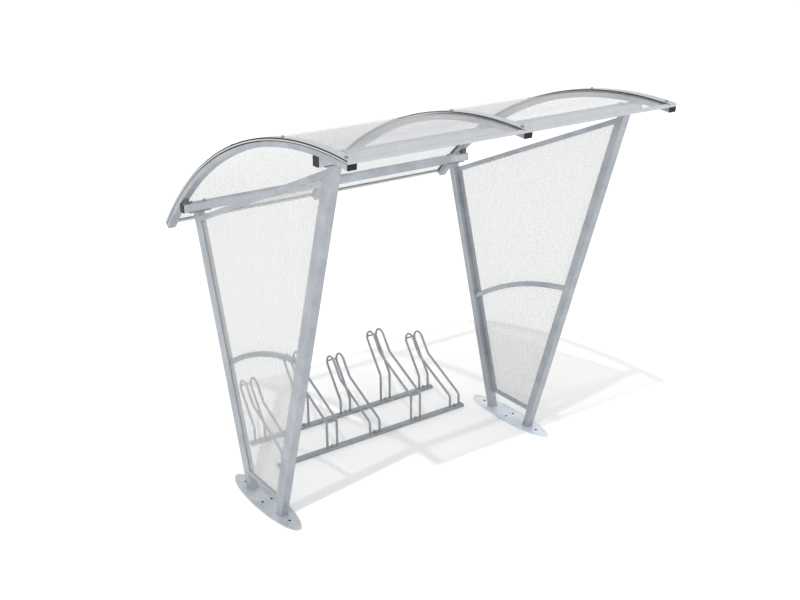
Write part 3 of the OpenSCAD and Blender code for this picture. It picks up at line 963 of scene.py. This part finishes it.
class SHELTER_OT_fit_rail_caps(ShelterOperator, bpy.types.Operator):
    """Fits the plastic caps that close both ends of the rails of the rack"""
    bl_idname = "shelter.fit_rail_caps"
    bl_label = "Fit Rail Caps"

    def execute(self, context):
        past, thick, bevel = fixings().rail_cap, 4 * MILLIMETRE, 1 * MILLIMETRE
        spacing = 1.5 * MILLIMETRE
        material = shared(moulded, "moulded_cap", finishes().cap_tone, 0.50, 700.0)
        for rail in RAILS:
            caps = Shape()
            low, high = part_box(rail)
            half_y, half_z = (high.y - low.y) / 2 + past, (high.z - low.z + past) / 2
            outline = rounded_loop(half_y, half_z, 2 * past, spacing)
            slim = Matrix.Diagonal((1 - bevel / half_y, 1 - bevel / half_z))
            for x, sign in ((low.x, -1), (high.x, 1)):
                loops = []
                for depth, flat in ((0, outline), (thick - bevel, outline),
                                    (thick, [slim @ place for place in outline])):
                    loops.append([(x + sign * depth, middle(rail).y + place.x, half_z + place.y)
                                  for place in flat])
                caps.add(*skin(loops))
            caps.piece(f"{rail}_caps", material, "black_plastic")
        return {"FINISHED"}


class SHELTER_OT_line_anchor_holes(ShelterOperator, bpy.types.Operator):
    """Sets a dark plastic lining with a thin flange in each anchor hole, as painted shade that
    darkens the holes
    """
    bl_idname = "shelter.line_anchor_holes"
    bl_label = "Line Anchor Holes"

    def execute(self, context):
        sizes = fixings()
        radius, wall, flange = sizes.anchor_hole / 2, 1.2 * MILLIMETRE, 0.6 * MILLIMETRE
        for side in SIDES:
            hole_shades = Shape()
            low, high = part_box(f"base_plate_{side}")
            centre = (low + high) / 2
            top = high.z
            # Painted shade: a dark plastic lining that darkens the inside of each anchor hole
            hole_shade = turned([
                (radius, wall), (radius, top), (radius + wall, top),
                (radius + wall, top + 0.6 * flange), (radius + 0.5 * wall, top + flange),
                (radius - wall, top + flange), (radius - wall, 2 * wall)])
            for x, y in ((0, sizes.anchor_span / 2), (0, -sizes.anchor_span / 2),
                         (sizes.anchor_cross / 2, 0), (-sizes.anchor_cross / 2, 0)):
                hole_shades.add(*hole_shade, Matrix.Translation((centre.x + x, centre.y + y, 0)))
            hole_shades.piece(f"anchor_hole_shades_{side}", plastic(), "black_plastic")
        return {"FINISHED"}


class SHELTER_OT_set_stage(ShelterOperator, bpy.types.Operator):
    """Sets the pale floor, the soft light and the camera"""
    bl_idname = "shelter.set_stage"
    bl_label = "Set Stage"

    def execute(self, context):
        sizes = stage()
        scene = context.scene
        half = sizes.floor_size / 2
        mesh = bpy.data.meshes.new("studio_floor")
        mesh.from_pydata([(-half, -half, 0), (half, -half, 0), (half, half, 0), (-half, half, 0)],
                         [], [(0, 1, 2, 3)])
        mesh.materials.append(shared(floor_paint, "studio_floor"))
        floor = bpy.data.objects.new("studio_floor", mesh)
        scene.collection.objects.link(floor)

        world = bpy.data.worlds.new("studio_light")
        world.use_nodes = True
        sky = world.node_tree.nodes["Background"]
        sky.inputs["Color"].default_value = (1, 1, 1, 1)
        sky.inputs["Strength"].default_value = sizes.sky_light
        scene.world = world

        key = bpy.data.objects.new("key_light", bpy.data.lights.new("key_light", "SUN"))
        key.data.energy = sizes.key_light
        key.data.angle = sizes.key_spread
        key.matrix_world = facing(sizes.key_height * UP, sizes.key_side)
        scene.collection.objects.link(key)

        camera = bpy.data.objects.new("camera", bpy.data.cameras.new("camera"))
        camera.data.sensor_width = 36
        camera.data.lens = sizes.lens
        camera.data.clip_end = sizes.floor_size
        camera.matrix_world = (Matrix.Translation(sizes.camera_place)
                               @ Matrix.Rotation(-sizes.pan, 4, "Z")
                               @ Matrix.Rotation(math.pi / 2 - sizes.tilt, 4, "X")
                               @ Matrix.Rotation(sizes.roll, 4, "Z"))
        scene.collection.objects.link(camera)
        scene.camera = camera
        scene.view_settings.view_transform = "Standard"
        return {"FINISHED"}


STEPS_IN_ORDER = (
    SHELTER_OT_set_stage, SHELTER_OT_finish_steelwork, SHELTER_OT_finish_rack,
    SHELTER_OT_glaze_sides, SHELTER_OT_glaze_roof, SHELTER_OT_finish_trim,
    SHELTER_OT_line_sheet_edges, SHELTER_OT_lay_glazing_tape,
    SHELTER_OT_lay_strip_lips, SHELTER_OT_fit_strip_bolts,
    SHELTER_OT_fit_purlin_bolts, SHELTER_OT_lay_frame_welds, SHELTER_OT_lay_rack_welds,
    SHELTER_OT_fit_rail_bolts, SHELTER_OT_fit_rail_caps, SHELTER_OT_line_anchor_holes,
)


class SHELTER_PT_finish(bpy.types.Panel):
    """Lists the steps and the sizes of the shelter"""
    bl_idname = "SHELTER_PT_finish"
    bl_label = "Bike Shelter"
    bl_space_type = "VIEW_3D"
    bl_region_type = "UI"
    bl_category = "Shelter"

    def draw(self, context):
        for step in STEPS_IN_ORDER:
            self.layout.operator(step.bl_idname)
        for group in (finishes(), fixings(), stage()):
            box = self.layout.box()
            for name in group.bl_rna.properties.keys():
                if name not in ("rna_type", "name"):
                    box.prop(group, name)


GROUPS = {"shelter_finishes": ShelterFinishes, "shelter_fixings": ShelterFixings,
          "shelter_stage": ShelterStage}
CLASSES = (*GROUPS.values(), *STEPS_IN_ORDER, SHELTER_PT_finish)


def register():
    for item in CLASSES:
        bpy.utils.register_class(item)
    for name, group in GROUPS.items():
        setattr(bpy.types.Scene, name, PointerProperty(type=group))


def unregister():
    for name in GROUPS:
        delattr(bpy.types.Scene, name)
    for item in reversed(CLASSES):
        bpy.utils.unregister_class(item)


def main():
    register()
    for step in STEPS_IN_ORDER:
        group, name = step.bl_idname.split(".")
        getattr(getattr(bpy.ops, group), name)()


if __name__ == "__main__":
    main()
